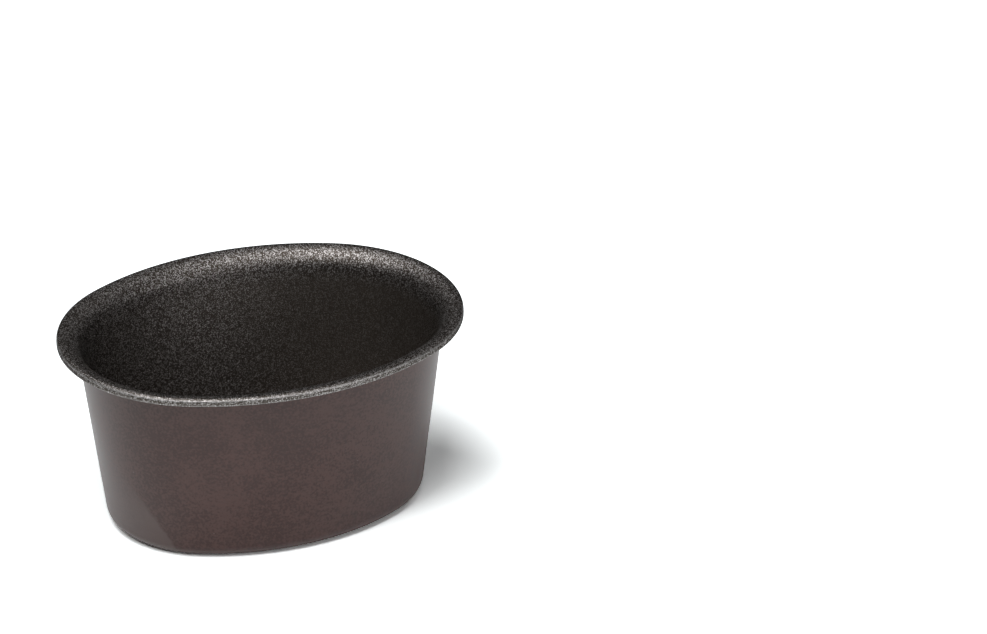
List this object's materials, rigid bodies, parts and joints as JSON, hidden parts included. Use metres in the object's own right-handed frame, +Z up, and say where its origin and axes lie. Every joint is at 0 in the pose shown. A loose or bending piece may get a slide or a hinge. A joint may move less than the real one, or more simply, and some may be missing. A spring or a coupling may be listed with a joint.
{
  "type": "oval aspic mould",
  "caption": "Small oval aspic mould pressed from coated steel sheet, with tapered walls, a flat base and a flared, turned-down lip.",
  "frame": {"origin": "centre of the flat base, on the surface that the mould stands on", "axes": "+X along the length of the oval, +Y across it, +Z up through the open mouth"},
  "size_m": [0.082, 0.064, 0.04],
  "materials": {
    "nonstick_coat": "satin",
    "bare_steel": "satin",
    "brown_lacquer": "satin"
  },
  "bodies": {
    "root": {"nonstick_lining": "nonstick_coat", "steel_shell": "bare_steel", "outer_lacquer": "brown_lacquer"}
  },
  "joints": []
}
